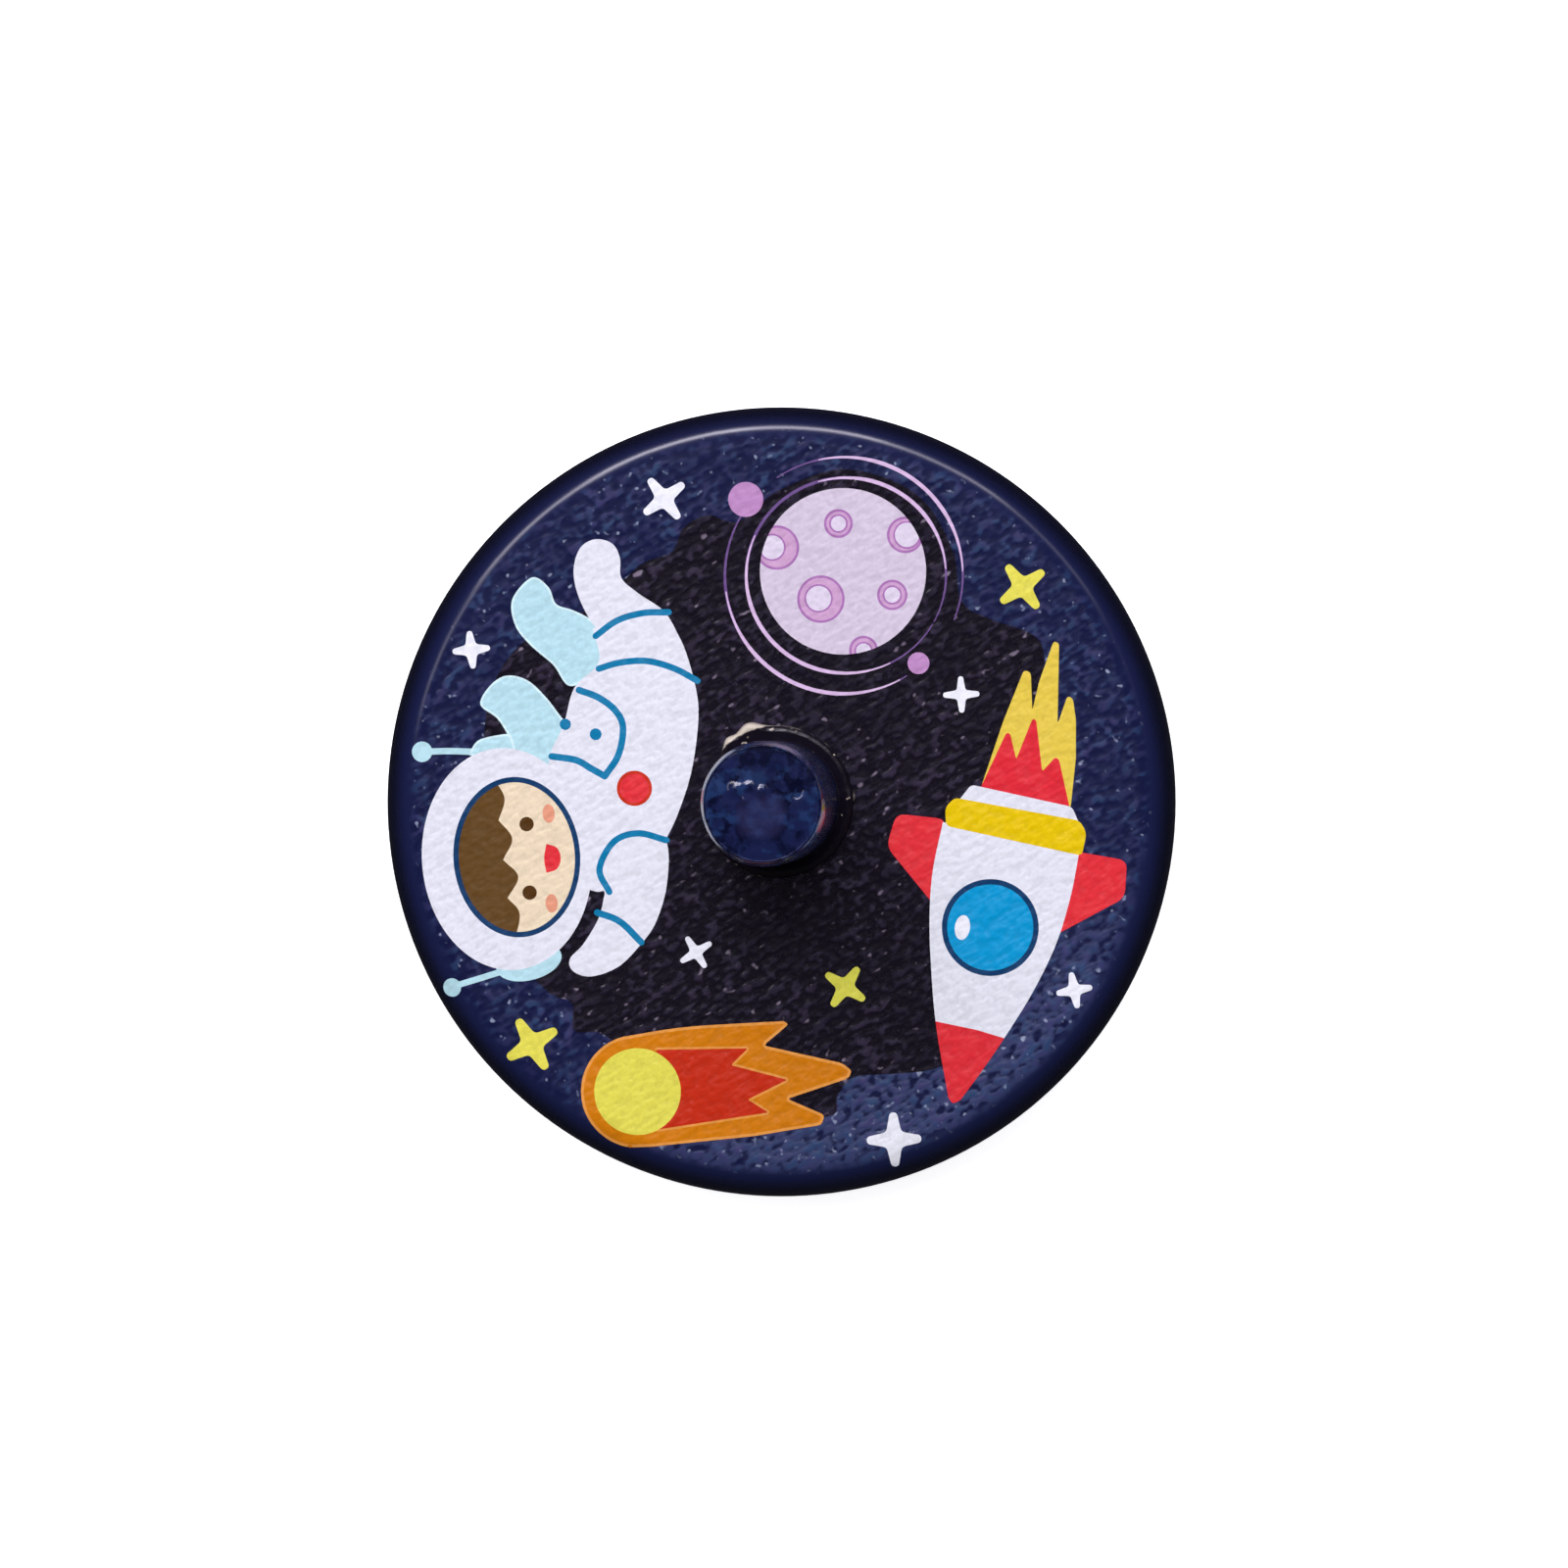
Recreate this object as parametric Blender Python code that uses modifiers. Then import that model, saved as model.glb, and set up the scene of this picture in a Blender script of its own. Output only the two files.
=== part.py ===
"""A small turned wooden spinning top: a disc, a spindle glued through it, and the bead of glue at its root.

The origin is at the tip that the top spins on, and +Z runs up the spindle to the end of its handle.
All sizes are in metres.
"""

import math

import bpy

# The disc is the flywheel: flat on both faces, with rounded edges.
DISC_RADIUS = 0.026
DISC_THICKNESS = 0.008
DISC_EDGE_RADIUS = 0.0025

# The spindle is one dowel, from its point below the disc to its handle above it.
SPINDLE_RADIUS = 0.004
TIP_LENGTH = 0.010
HANDLE_LENGTH = 0.018

# The spindle's point is a cone with a ball end.
TIP_BALL_RADIUS = 0.0012
TIP_HALF_ANGLE = math.radians(30.0)

# The handle's end has a small flat, then a shallow dome, then a rounded edge.
END_FLAT_RADIUS = 0.0018
END_DOME_DROP = 0.0002
END_EDGE_RADIUS = 0.0006

# The glue stands in a bead round the handle, on the disc's upper face.
BEAD_WIDTH = 0.00105
BEAD_HEIGHT = 0.0012

# The glue line: the room between the spindle and what it is glued to.
GLUE_GAP = 0.0001

UNDERSIDE_Z = TIP_LENGTH
FACE_Z = UNDERSIDE_Z + DISC_THICKNESS
END_Z = FACE_Z + HANDLE_LENGTH
BORE_RADIUS = SPINDLE_RADIUS + GLUE_GAP

DISC_SEGMENTS = 72
SPINDLE_SEGMENTS = 40
BEAD_SEGMENTS = 48
ARC_STEPS = 6
MERGE_DISTANCE = 0.00001
SHARP_ANGLE = math.radians(35.0)

NAVY = (0.0129, 0.0168, 0.0630)
HANDLE_NAVY = (0.0194, 0.0232, 0.0802)
DRIED_GLUE = (0.0273, 0.0307, 0.0908)


def clear_scene():
    """Remove every object that the scene starts with."""
    for obj in list(bpy.data.objects):
        bpy.data.objects.remove(obj, do_unlink=True)


def make_collection(name):
    """Add a collection to the scene."""
    collection = bpy.data.collections.new(name)
    bpy.context.scene.collection.children.link(collection)
    return collection


def make_material(name, colour, roughness):
    """A plain glossy paint or glue in one colour."""
    material = bpy.data.materials.new(name)
    material.use_nodes = True
    shader = material.node_tree.nodes["Principled BSDF"]
    shader.inputs["Base Color"].default_value = (*colour, 1.0)
    shader.inputs["Roughness"].default_value = roughness
    shader.inputs["Metallic"].default_value = 0.0
    return material


def arc(centre, radii, start, end):
    """Points on an elliptical arc in the (radius, height) plane, between two angles in degrees."""
    points = []
    for step in range(ARC_STEPS + 1):
        angle = math.radians(start + (end - start) * step / ARC_STEPS)
        points.append((centre[0] + radii[0] * math.cos(angle), centre[1] + radii[1] * math.sin(angle)))
    return points


def disc_profile():
    """The disc's section, from the bore's upper edge outwards, down round the rim and back to the bore."""
    edge = DISC_EDGE_RADIUS
    edge_x = DISC_RADIUS - edge
    upper_edge = arc((edge_x, DISC_THICKNESS - edge), (edge, edge), 90.0, 0.0)
    lower_edge = arc((edge_x, edge), (edge, edge), 0.0, -90.0)
    return [(BORE_RADIUS, DISC_THICKNESS)] + upper_edge + lower_edge + [(BORE_RADIUS, 0.0)]


def end_dome():
    """The handle end's shallow dome, a parabola from the small flat out to the rounded edge."""
    outer = SPINDLE_RADIUS - END_EDGE_RADIUS
    points = []
    for step in range(ARC_STEPS):
        share = step / ARC_STEPS
        radius = END_FLAT_RADIUS + (outer - END_FLAT_RADIUS) * share
        points.append((radius, END_Z - END_DOME_DROP * share ** 2))
    return points


def spindle_profile():
    """The spindle's section, from the middle of the handle's end down its side to the point."""
    edge = END_EDGE_RADIUS
    edge_centre = (SPINDLE_RADIUS - edge, END_Z - END_DOME_DROP - edge)
    rounded_edge = arc(edge_centre, (edge, edge), 90.0, 0.0)

    ball = TIP_BALL_RADIUS
    tangent_angle = -math.degrees(TIP_HALF_ANGLE)
    ball_end = arc((0.0, ball), (ball, ball), tangent_angle, -90.0)
    tangent_radius, tangent_z = ball_end[0]
    shoulder_z = tangent_z + (SPINDLE_RADIUS - tangent_radius) / math.tan(TIP_HALF_ANGLE)

    point = [(SPINDLE_RADIUS, shoulder_z)] + ball_end[:-1] + [(0.0, 0.0)]
    return [(0.0, END_Z)] + end_dome() + rounded_edge + point


def bead_profile():
    """The bead's section: a rounded fillet between the spindle's side and the disc's face."""
    inner = SPINDLE_RADIUS + GLUE_GAP
    crown = arc((inner, GLUE_GAP), (BEAD_WIDTH, BEAD_HEIGHT), 90.0, 0.0)
    return crown + [(inner, GLUE_GAP)]


def turn(name, profile, is_ring, segments, material, collection):
    """Spin a section about Z into one closed body. A ring's section closes on itself, off the axis."""
    outline = bpy.data.meshes.new(name + "_outline")
    points = [(radius, 0.0, z) for radius, z in profile]
    edges = [(index, index + 1) for index in range(len(points) - 1)]
    if is_ring:
        edges.append((len(points) - 1, 0))
    outline.from_pydata(points, edges, [])

    obj = bpy.data.objects.new(name, outline)
    collection.objects.link(obj)
    screw = obj.modifiers.new("turning", "SCREW")
    screw.axis = "Z"
    screw.angle = math.tau
    screw.steps = segments
    screw.render_steps = segments
    screw.use_merge_vertices = True
    screw.merge_threshold = MERGE_DISTANCE

    graph = bpy.context.evaluated_depsgraph_get()
    solid = bpy.data.meshes.new_from_object(obj.evaluated_get(graph))
    solid.name = name
    solid.shade_smooth()
    solid.set_sharp_from_angle(angle=SHARP_ANGLE)
    solid.materials.append(material)
    obj.modifiers.clear()
    obj.data = solid
    bpy.data.meshes.remove(outline)
    return obj


def place(obj, parent, z):
    """Hang a part on the top's axis, with its origin at this height."""
    obj.parent = parent
    obj.location = (0.0, 0.0, z)


def build_top():
    """Make the three parts on one axis, with the tip at the origin."""
    collection = make_collection("spinning_top")
    disc_paint = make_material("disc_paint", NAVY, 0.32)
    spindle_paint = make_material("spindle_paint", HANDLE_NAVY, 0.25)
    bead_glue = make_material("bead_glue", DRIED_GLUE, 0.2)

    axis = bpy.data.objects.new("top_axis", None)
    axis.empty_display_size = END_Z
    collection.objects.link(axis)

    disc = turn("disc", disc_profile(), True, DISC_SEGMENTS, disc_paint, collection)
    spindle = turn("spindle", spindle_profile(), False, SPINDLE_SEGMENTS, spindle_paint, collection)
    bead = turn("glue_bead", bead_profile(), True, BEAD_SEGMENTS, bead_glue, collection)
    place(disc, axis, UNDERSIDE_Z)
    place(spindle, axis, 0.0)
    place(bead, axis, FACE_Z)


clear_scene()
build_top()
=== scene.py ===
"""The looks of a small painted wooden spinning top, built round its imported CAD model.

The picture printed on the disc's face is drawn in millimetres on that face, with its middle on the
spindle's axis, +x to the right and +y up. Everything else is in metres, in the CAD model's frame.
"""

import math
from collections import namedtuple

import bpy
import numpy as np
from mathutils import Matrix, Vector, noise
from mathutils.geometry import delaunay_2d_cdt


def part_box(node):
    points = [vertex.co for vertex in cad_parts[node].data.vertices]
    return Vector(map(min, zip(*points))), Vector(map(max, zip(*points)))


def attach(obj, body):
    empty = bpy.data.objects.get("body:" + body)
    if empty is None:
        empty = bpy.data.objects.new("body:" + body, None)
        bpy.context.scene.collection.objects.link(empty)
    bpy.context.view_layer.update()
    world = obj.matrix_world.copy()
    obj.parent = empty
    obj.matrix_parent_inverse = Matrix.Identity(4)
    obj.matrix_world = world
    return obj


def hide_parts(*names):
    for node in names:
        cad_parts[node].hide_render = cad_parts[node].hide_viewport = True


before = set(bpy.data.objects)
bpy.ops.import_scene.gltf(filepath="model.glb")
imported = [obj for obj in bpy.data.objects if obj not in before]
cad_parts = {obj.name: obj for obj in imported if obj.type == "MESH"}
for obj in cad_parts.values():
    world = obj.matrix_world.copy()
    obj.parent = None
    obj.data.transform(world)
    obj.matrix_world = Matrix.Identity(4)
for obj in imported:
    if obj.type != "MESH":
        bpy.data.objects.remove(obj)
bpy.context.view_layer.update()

MM = 0.001

# Sizes read from the CAD model.
DISC_LOW, DISC_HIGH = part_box("disc")
SPINDLE_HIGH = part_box("spindle")[1]
BEAD_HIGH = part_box("glue_bead")[1]
DISC_RADIUS = DISC_HIGH.x
FACE_Z = DISC_HIGH.z
UNDERSIDE_Z = DISC_LOW.z
SPINDLE_RADIUS = SPINDLE_HIGH.x
END_Z = SPINDLE_HIGH.z
BEAD_WIDTH = BEAD_HIGH.x - SPINDLE_RADIUS
BEAD_HEIGHT = BEAD_HIGH.z - FACE_Z

# The disc's rounded edges, and where the face's own mesh hands over to the turned rim.
EDGE_RADIUS = 2.5 * MM
FLAT_RADIUS = DISC_RADIUS - EDGE_RADIUS
FACE_RADIUS = DISC_RADIUS - 0.7 * MM
BORE_RADIUS = SPINDLE_RADIUS + 0.03 * MM

# The spindle's turned ends, as in the CAD model, but with a tighter edge on the handle's end.
END_FLAT_RADIUS = 1.8 * MM
END_DOME_DROP = 0.2 * MM
END_EDGE_RADIUS = 0.36 * MM
TIP_BALL_RADIUS = 1.2 * MM
TIP_HALF_ANGLE = math.radians(30.0)

# Mesh density, with the spacings in millimetres.
DISC_SEGMENTS = 192
SPINDLE_SEGMENTS = 128
BEAD_SEGMENTS = 192
FACE_SPACING = 0.45
EDGE_SPACING = 0.28
OUTLINE_STEP = 0.22
OUTLINE_CLEARANCE = 0.1

# The printed ink stands this high on the paint.
INK_HEIGHT = 0.014 * MM

# The relief of the disc's paint, in millimetres, and how much of it is smoothed away on the rim.
BROAD_RELIEF = 0.012
FINE_RELIEF = 0.006
RIM_SMOOTHING = 0.85
RIM_SINK = 0.004

# The relief of the dipped paint on the spindle, in millimetres. Its end sinks to leave room for swells.
LUMP_RELIEF = 0.018
END_LUMP_RELIEF = 0.03
END_SINK = 0.3

# The end's own relief starts this far below it, and is full after fading in over this height.
END_REACH = 2.0 * MM
END_FADE = 1.6 * MM

# Swells and pits of the paint on the handle's end: place, radius, height and steepness, in millimetres.
END_LUMPS = [
    ((-0.1, -0.75), 1.7, 0.1, 14),
    ((-1.5, 0.95), 0.42, 0.25, 2),
    ((-0.75, 1.05), 0.36, 0.22, 2),
    ((-0.05, 0.95), 0.42, 0.25, 2),
    ((-1.1, 0.3), 0.26, 0.16, 2),
    ((-0.9, 2.3), 0.7, -0.06, 3),
    ((0.9, 2.0), 0.6, -0.07, 3),
    ((2.2, 0.9), 0.5, -0.13, 6),
    ((-2.4, 1.4), 0.6, -0.05, 3),
    ((1.6, -2.7), 0.7, -0.05, 3),
]

# Where glue was squeezed out: the angle in degrees, the spread in degrees, and the size of each blob.
GLUE_BLOBS = [(112.0, 10.0, 1.0), (129.0, 6.0, 0.7), (4.0, 4.0, 0.15)]

# Colours, as sRGB. An ink in a trough of the lacquer is painted darker as shade, at this share of its
# brightness; its print grain uses the same darker tone.
TROUGH_SHADE = 0.78
NAVY = "#171c41"
# Painted shade on the rim's edge.
NAVY_EDGE_SHADE = "#07081b"
# Painted shade in the troughs of the pebbled paint.
NAVY_TROUGH_SHADE = "#12163b"
# A painted sheen toward the picture's bottom, standing in for a reflection.
NAVY_PAINTED_SHEEN = "#434d76"
# Painted highlights on the pebbles' crests.
NAVY_CREST_HIGHLIGHT_TEAL = "#2f426a"
NAVY_CREST_HIGHLIGHT_PURPLE = "#3c3a68"
# Painted glints.
NAVY_PAINTED_GLINT = "#8791ae"
NEBULA = "#14101b"
# Painted highlights on the nebula's crests, and painted glints.
NEBULA_CREST_HIGHLIGHT = "#2f283c"
NEBULA_PAINTED_GLINT = "#75697c"
HANDLE_NAVY = "#171e45"
HANDLE_DARK = "#080b26"
HANDLE_TEAL = "#1d305a"
HANDLE_FLAT = "#2a2950"
BARE_WOOD = "#c9a06c"
LACQUER = "#120d18"
PALE_GLUE = "#cdc2b3"

INKS = {
    "lilac": "#d3c6da",
    "lilac_pale": "#ddd2e6",
    "mauve": "#cba0c8",
    "plum": "#a870b0",
    "orchid": "#bb89bf",
    "orbit": "#d6b8de",
    "violet": "#694c86",
    "white": "#e3e4ef",
    "star": "#eff0fa",
    "sky": "#b7dfe9",
    "sky_pale": "#d5f1f7",
    "teal": "#0a79a8",
    "deep_blue": "#103a66",
    "blue": "#0698d2",
    "red": "#e0303a",
    "flame_red": "#de2a38",
    "yellow": "#e6c404",
    "flame_yellow": "#e4c84b",
    "lemon": "#e4dc56",
    "lime": "#d9d653",
    "amber": "#e79a48",
    "orange": "#d37c0c",
    "ember": "#c62e16",
    "skin": "#ecd9bb",
    "hair": "#624520",
    "eye": "#50320f",
    "cheek": "#e59a7c",
}


# -------- drawing on the face, in millimetres

def bow(centre, radii, start, end, turn=0.0):
    """Points along an arc of a circle or an ellipse, between two angles in degrees."""
    along = math.radians(abs(end - start)) * max(radii)
    count = max(8, round(along / OUTLINE_STEP))
    angles = np.radians(np.linspace(start, end, count + 1))
    flat = np.column_stack([radii[0] * np.cos(angles), radii[1] * np.sin(angles)])
    cos, sin = math.cos(math.radians(turn)), math.sin(math.radians(turn))
    return flat @ np.array([[cos, sin], [-sin, cos]]) + centre


def ellipse(centre, radii, turn=0.0):
    """A closed ellipse."""
    return bow(centre, radii, 0.0, 360.0, turn)[:-1]


def circle(centre, radius):
    """A closed circle."""
    return ellipse(centre, (radius, radius))


def curve(*points):
    """A smooth open line through a few points, as a Catmull-Rom spline."""
    knots = np.array(points, float)
    first = 2 * knots[0] - knots[1]
    last = 2 * knots[-1] - knots[-2]
    knots = np.vstack([first, knots, last])
    line = []
    for before, start, end, after in zip(knots, knots[1:], knots[2:], knots[3:]):
        count = max(3, round(np.linalg.norm(end - start) / OUTLINE_STEP))
        for share in np.arange(count) / count:
            line.append(0.5 * (
                2 * start
                + (end - before) * share
                + (2 * before - 5 * start + 4 * end - after) * share ** 2
                + (3 * start - before - 3 * end + after) * share ** 3
            ))
    line.append(knots[-2])
    return np.array(line)


def outline(*lines):
    """One closed outline from lines that follow each other, with a corner where two of them meet."""
    return np.vstack([line[:-1] if np.allclose(line[-1], after[0]) else line
                      for line, after in zip(lines, lines[1:] + lines[:1])])


def rounded(points, cut):
    """A closed polygon with each corner rounded off, from this far along both of its edges."""
    corners = np.array(points, float)
    rounds = []
    for before, corner, after in zip(np.roll(corners, 1, 0), corners, np.roll(corners, -1, 0)):
        into, out = before - corner, after - corner
        start = corner + into * min(0.45, cut / np.linalg.norm(into))
        end = corner + out * min(0.45, cut / np.linalg.norm(out))
        for share in np.linspace(0.0, 1.0, 5):
            rounds.append((1 - share) ** 2 * start + 2 * share * (1 - share) * corner + share ** 2 * end)
    return np.array(rounds)


def stroke(line, width, start_width=None, end_width=None):
    """The closed outline of a line drawn with a round pen, which may thin out towards its ends."""
    line = np.array(line, float)
    share = np.linspace(0.0, 1.0, len(line))
    ends = [start_width or width, width, width, end_width or width]
    half = np.interp(share, [0.0, 0.3, 0.7, 1.0], ends)[:, None] / 2
    along = np.gradient(line, axis=0)
    along /= np.linalg.norm(along, axis=1)[:, None]
    across = np.column_stack([-along[:, 1], along[:, 0]])
    left, right = line + across * half, line - across * half

    def cap(index, direction):
        """The half circle round an end of the line."""
        angle = math.degrees(math.atan2(direction[1], direction[0]))
        around = np.radians(angle + np.array([60.0, 30.0, 0.0, -30.0, -60.0]))
        return line[index] + half[index] * np.column_stack([np.cos(around), np.sin(around)])

    return np.vstack([left, cap(-1, along[-1]), right[::-1], cap(0, -along[0])])


def star(centre, size, turn, waist):
    """A four-pointed star with hollow sides and blunt tips. Its waist is a share of its size."""
    tip = 0.13
    corners = []
    for point in range(4):
        along = math.radians(turn + 90.0 * point)
        for across in (-tip, tip):
            angle = along + math.atan(across)
            corners.append((size * math.cos(angle), size * math.sin(angle)))
        between = along + math.radians(45.0)
        corners.append((waist * size * math.cos(between), waist * size * math.sin(between)))
    return rounded(np.array(corners) + centre, 0.14 * size)


def inside(points, closed_line):
    """Which of the points lie inside a closed outline, by counting crossings."""
    low, high = closed_line.min(0), closed_line.max(0)
    near = np.where(((points >= low) & (points <= high)).all(1))[0]
    found = np.zeros(len(points), bool)
    if not len(near):
        return found
    x, y = points[near, 0, None], points[near, 1, None]
    start, end = closed_line, np.roll(closed_line, -1, 0)
    spans = (start[:, 1] > y) != (end[:, 1] > y)
    rise = np.where(end[:, 1] == start[:, 1], 1.0, end[:, 1] - start[:, 1])
    crossing = start[:, 0] + (y - start[:, 1]) * (end[:, 0] - start[:, 0]) / rise
    found[near] = (spans & (x < crossing)).sum(1) % 2 == 1
    return found


# -------- the picture

# A shape of one ink, in one printed piece. Where `within` is set, only the part inside it is printed.
# A shape with no piece leaves the paint bare.
Shape = namedtuple("Shape", "piece ink outline within", defaults=[None])


def printed(piece, *parts):
    """Shapes of one piece, each from an ink, an outline and perhaps an outline to stay within."""
    return [Shape(piece, *part) for part in parts]


def edged(ink, edge_ink, line, width):
    """Parts of a shape with a paler margin of this width just inside its outline."""
    closed = np.vstack([line, line[:1]])
    return [(ink, line), (edge_ink, stroke(closed, 2 * width), line)]


def draw_nebula():
    """The dark cloud that fills the middle of the face, with bare paint left round the spindle."""
    cloud = outline(curve(
        (-11.0, 13.6), (-9.0, 15.6), (-7.0, 16.4), (-6.2, 18.0), (-4.6, 18.8), (-2.6, 18.4),
        (0.0, 20.4), (4.4, 21.8), (9.0, 20.2), (11.4, 16.6), (12.0, 13.2),
        (13.9, 12.0), (16.6, 11.0), (17.4, 9.6), (17.0, 6.0), (16.0, 0.0),
        (17.6, -6.0), (14.6, -11.6), (12.4, -15.8), (10.4, -17.4), (7.4, -17.8), (5.0, -18.0),
        (3.9, -19.2), (3.2, -20.6), (-3.0, -20.0), (-9.0, -17.0), (-11.6, -15.2), (-13.4, -15.0),
        (-13.6, -13.2), (-15.2, -12.4), (-18.0, -9.0), (-19.2, -3.0), (-19.3, 5.0), (-18.6, 8.0),
        (-17.2, 10.1), (-15.2, 11.5), (-13.0, 12.4), (-11.0, 13.6),
    ))
    return printed("print_nebula", ("nebula", cloud)) + printed(None, (None, circle((0.0, 0.0), 4.6)))


def orbit(centre, radii, faint, bright):
    """Parts of an orbit's stretch: a faint thin line, and a brighter one that swells over it."""
    return [
        ("violet", stroke(bow(centre, radii, *faint), 0.2, 0.08, 0.08)),
        ("orbit", stroke(bow(centre, radii, *bright), 0.26, 0.08, 0.08)),
    ]


def crater(disc, centre, radius, hollow, hollow_radius):
    """Parts of a crater on the moon's disc: a dark outline, its slope, and the pale hollow."""
    return [
        ("plum", circle(centre, radius), disc),
        ("mauve", circle(centre, radius - 0.16), disc),
        ("plum", circle(hollow, hollow_radius + 0.12), disc),
        ("lilac_pale", circle(hollow, hollow_radius), disc),
    ]


def draw_moon():
    """A cratered moon with two thin orbits round it and a small orb at each end of the outer one."""
    outer, inner = (4.3, 14.85), (4.45, 14.85)
    outer_radii, inner_radii = (7.8, 7.75), (6.55, 6.4)
    disc = circle((4.25, 15.12), 5.45)
    return printed("print_nebula", ("nebula", circle(inner, 6.35))) + printed(
        "print_moon",
        *orbit(outer, outer_radii, (140.0, 302.0), (188.0, 298.0)),
        *orbit(outer, outer_radii, (124.0, -22.0), (102.0, 2.0)),
        *orbit(inner, inner_radii, (-28.0, 330.0), (156.0, 296.0)),
        *orbit(inner, inner_radii, (122.0, -26.0), (106.0, 4.0)),
        ("orchid", circle((-2.13, 19.84), 1.15)),
        ("orchid", circle((9.2, 9.1), 0.72)),
        ("lilac", disc),
        *crater(disc, (3.95, 18.25), 0.95, (3.95, 18.25), 0.5),
        *crater(disc, (8.33, 17.5), 1.2, (8.45, 17.5), 0.8),
        *crater(disc, (-0.08, 16.68), 1.46, (-0.4, 16.7), 0.78),
        *crater(disc, (2.8, 13.3), 1.56, (2.65, 13.35), 0.82),
        *crater(disc, (7.48, 13.57), 1.0, (7.48, 13.57), 0.52),
        *crater(disc, (5.6, 9.95), 0.95, (5.6, 9.9), 0.5),
    )


def draw_stars():
    """The four-pointed stars: place, size, turn, waist and ink of each."""
    stars = [
        ((-7.5, 19.9), 1.65, 37.0, 0.36, "star"),
        ((-20.2, 10.0), 1.25, 6.0, 0.39, "star"),
        ((16.0, 14.1), 1.75, 36.0, 0.37, "lemon"),
        ((12.0, 7.05), 1.2, 2.0, 0.34, "star"),
        ((-16.2, -15.9), 1.9, 30.0, 0.38, "lemon"),
        ((-5.4, -9.85), 1.2, 32.0, 0.33, "star"),
        ((4.4, -12.1), 1.55, 56.0, 0.37, "lime"),
        ((19.4, -12.3), 1.2, 10.0, 0.38, "star"),
        ((7.6, -22.1), 1.8, 2.0, 0.39, "star"),
    ]
    return printed("print_stars", *[(ink, star(*measures)) for *measures, ink in stars])


def draw_rocket():
    """A rocket that dives, with its nose at the bottom and its flame at the top."""
    flame = rounded([
        (13.2, 0.7), (14.75, 5.3), (16.1, 8.65), (16.55, 8.5), (16.65, 6.0), (17.1, 7.9), (18.05, 10.55),
        (18.4, 10.4), (18.3, 5.1), (18.95, 6.95), (19.3, 6.8), (19.5, 5.4), (19.5, 2.9), (19.15, -0.4),
    ], 0.25)
    flame_core = rounded([
        (13.1, 0.6), (14.95, 4.55), (15.2, 4.5), (15.6, 2.8), (16.65, 5.45), (16.9, 5.4), (17.3, 2.0),
        (18.15, 2.95), (18.4, 2.8), (19.15, -0.6),
    ], 0.2)
    left_fin = rounded([(11.0, -1.1), (7.75, -0.75), (7.1, -2.9), (10.6, -7.2)], 0.6)
    right_fin = rounded([(19.4, -3.2), (22.85, -3.8), (22.7, -6.25), (17.6, -9.0)], 0.6)
    hull = outline(
        curve((10.8, -1.3), (10.15, -4.4), (9.93, -7.2), (10.0, -10.4), (10.35, -14.6), (11.15, -19.3)),
        curve((11.15, -19.3), (11.45, -19.7), (11.95, -19.5)),
        curve((11.95, -19.5), (13.35, -17.6), (14.85, -15.4), (16.7, -12.4), (18.2, -9.3), (19.15, -6.2),
              (19.7, -3.4)),
    )
    nose = rounded([(9.6, -14.2), (11.0, -20.8), (12.4, -20.8), (16.0, -15.8), (13.0, -14.9)], 0.2)
    cap = rounded([(11.75, 0.0), (12.65, 1.15), (19.25, -0.3), (19.85, -1.7)], 0.3)
    band = rounded([
        (11.0, -1.55), (10.95, -0.35), (11.55, 0.3), (19.75, -1.2), (20.2, -2.0), (19.9, -3.5),
    ], 0.35)
    window = (13.9, -8.2)
    return printed(
        "print_rocket",
        ("flame_yellow", flame),
        ("flame_red", flame_core),
        ("red", left_fin),
        ("red", right_fin),
        ("white", hull),
        ("red", nose, hull),
        ("white", cap),
        ("yellow", band),
        ("deep_blue", circle(window, 3.17)),
        ("blue", circle(window, 2.82)),
        ("star", ellipse((12.08, -8.2), (0.5, 0.82), -8.0)),
    )


def draw_comet():
    """A comet that flies left, with a torn tail of two flames."""
    ball = (-9.25, -19.0)
    # The torn end's first and last corners join on to other lines, so their rounding is left off.
    tail = outline(
        bow(ball, (3.72, 3.72), 262.0, 104.0),
        curve((-10.15, -15.39), (-6.0, -14.75), (0.35, -14.35)),
        rounded([
            (0.35, -14.35), (0.7, -14.55), (-0.95, -15.95), (1.5, -16.5), (4.2, -17.1), (4.85, -17.6),
            (4.6, -18.1), (0.6, -19.45), (3.05, -20.5), (2.85, -21.15), (-1.6, -21.9), (-8.6, -22.65),
        ], 0.25)[5:-4],
    )
    core = rounded([
        (-8.0, -16.25), (-2.0, -16.15), (-3.1, -17.25), (0.6, -18.2), (-2.0, -19.5), (-0.65, -20.35),
        (-8.0, -21.5),
    ], 0.15)
    return printed(
        "print_comet",
        *edged("orange", "amber", tail, 0.19),
        ("amber", stroke(np.vstack([core, core[:1]]), 0.3)),
        ("ember", core),
        ("lemon", circle(ball, 2.85)),
    )


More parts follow.
